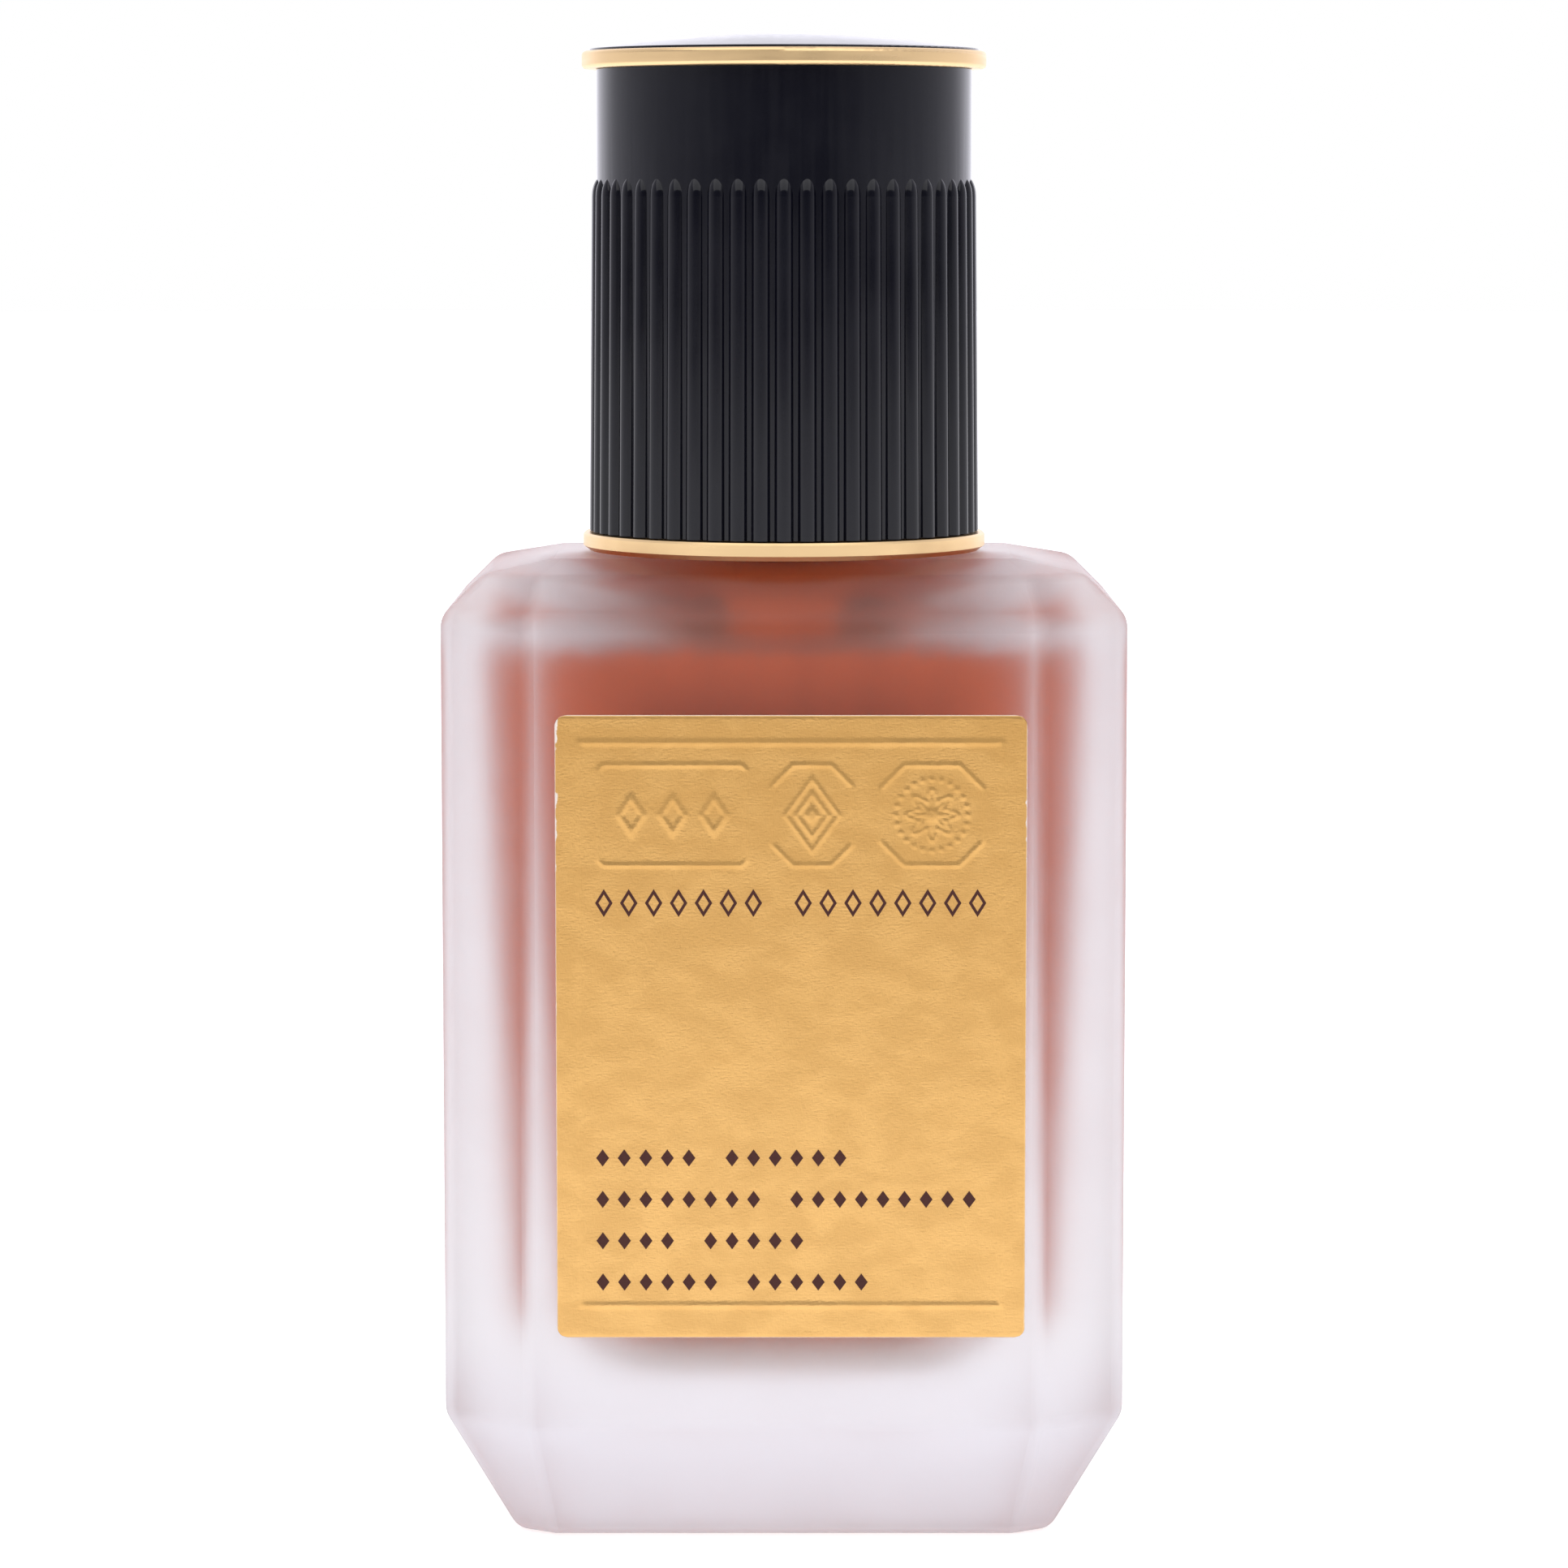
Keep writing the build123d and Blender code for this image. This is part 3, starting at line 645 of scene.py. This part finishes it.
def pale_floor():
    """A wide pale table top, lit from below a little, as for pictures on white."""
    bpy.ops.mesh.primitive_circle_add(vertices=128, radius=FLOOR_RADIUS, fill_type="NGON")
    floor = bpy.context.object
    floor.name = "floor"
    paint = Paint("pale_floor", roughness=0.7)
    speckle = paint.noise(30 * MM, detail=2)
    paint.set("Base Color", paint.blend(speckle, (0.74, 0.74, 0.75, 1), (0.77, 0.77, 0.78, 1)))
    paint.set("Emission Color", (1.0, 0.99, 1.0, 1))
    paint.set("Emission Strength", FLOOR_GLOW)
    floor.data.materials.append(paint.material)
    floor.location.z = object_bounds()[0].z - FLOOR_GAP
    floor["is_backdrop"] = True


def surroundings():
    """White behind the object; dim towards the camera, so that glossy black stays black."""
    world = bpy.data.worlds.new("surroundings")
    bpy.context.scene.world = world
    world.use_nodes = True
    tree = world.node_tree
    tree.nodes.clear()
    place = tree.nodes.new("ShaderNodeTexCoord")
    split = tree.nodes.new("ShaderNodeSeparateXYZ")
    ramp = tree.nodes.new("ShaderNodeValToRGB")
    lit = tree.nodes.new("ShaderNodeBackground")
    white = tree.nodes.new("ShaderNodeBackground")
    path = tree.nodes.new("ShaderNodeLightPath")
    mix = tree.nodes.new("ShaderNodeMixShader")
    out = tree.nodes.new("ShaderNodeOutputWorld")
    span = tree.nodes.new("ShaderNodeMapRange")
    span.inputs[1].default_value = -1
    tree.links.new(place.outputs["Generated"], split.inputs[0])
    tree.links.new(split.outputs[1], span.inputs[0])
    tree.links.new(span.outputs[0], ramp.inputs[0])
    # Brightness against direction: 0 is behind the camera, 1 is behind the object.
    stops = (
        (0.0, 0.10),
        (0.06, 0.13),
        (0.2, 0.40),
        (0.52, 0.72),
        (0.8, 0.95),
        (0.92, 1.40),
        (1.0, 1.50),
    )
    while len(ramp.color_ramp.elements) < len(stops):
        ramp.color_ramp.elements.new(0.5)
    for element, (position, level) in zip(ramp.color_ramp.elements, stops):
        element.position = position
        element.color = (*(level * part for part in SURROUNDINGS_TINT), 1)
    tree.links.new(ramp.outputs[0], lit.inputs[0])
    tree.links.new(path.outputs["Is Camera Ray"], mix.inputs[0])
    tree.links.new(lit.outputs[0], mix.inputs[1])
    tree.links.new(white.outputs[0], mix.inputs[2])
    tree.links.new(mix.outputs[0], out.inputs[0])
    white.inputs[0].default_value = (1, 1, 1, 1)


def softbox(name, place, target, size, watts):
    """A rectangular soft light that faces target."""
    lamp = bpy.data.lights.new(name, "AREA")
    lamp.shape = "RECTANGLE"
    lamp.size, lamp.size_y = size
    lamp.energy = watts
    made = bpy.data.objects.new(name, lamp)
    made.location = place
    made.rotation_euler = (Vector(target) - Vector(place)).to_track_quat("-Z", "Y").to_euler()
    bpy.context.scene.collection.objects.link(made)


middle = (cad_bounds[0] + cad_bounds[1]) / 2
pale_floor()
surroundings()
softbox("light_top", (0, -0.45, 0.80), middle, (1.8, 1.3), 7.4)

# ---------------------------------------------------------------- camera

CAMERA_DISTANCE = 0.4038
CAMERA_HEIGHT = 0.0977
CAMERA_PITCH = 0.1082
CAMERA_LENS = 125.98

lens = bpy.data.cameras.new("camera")
lens.lens = CAMERA_LENS
lens.sensor_width = 36
lens.clip_start = 0.01
camera = bpy.data.objects.new("camera", lens)
camera.location = (0, -CAMERA_DISTANCE, CAMERA_HEIGHT)
camera.rotation_euler = (math.pi / 2 - CAMERA_PITCH, 0, 0)
bpy.context.scene.collection.objects.link(camera)
bpy.context.scene.camera = camera
bpy.context.scene.view_settings.view_transform = "Standard"
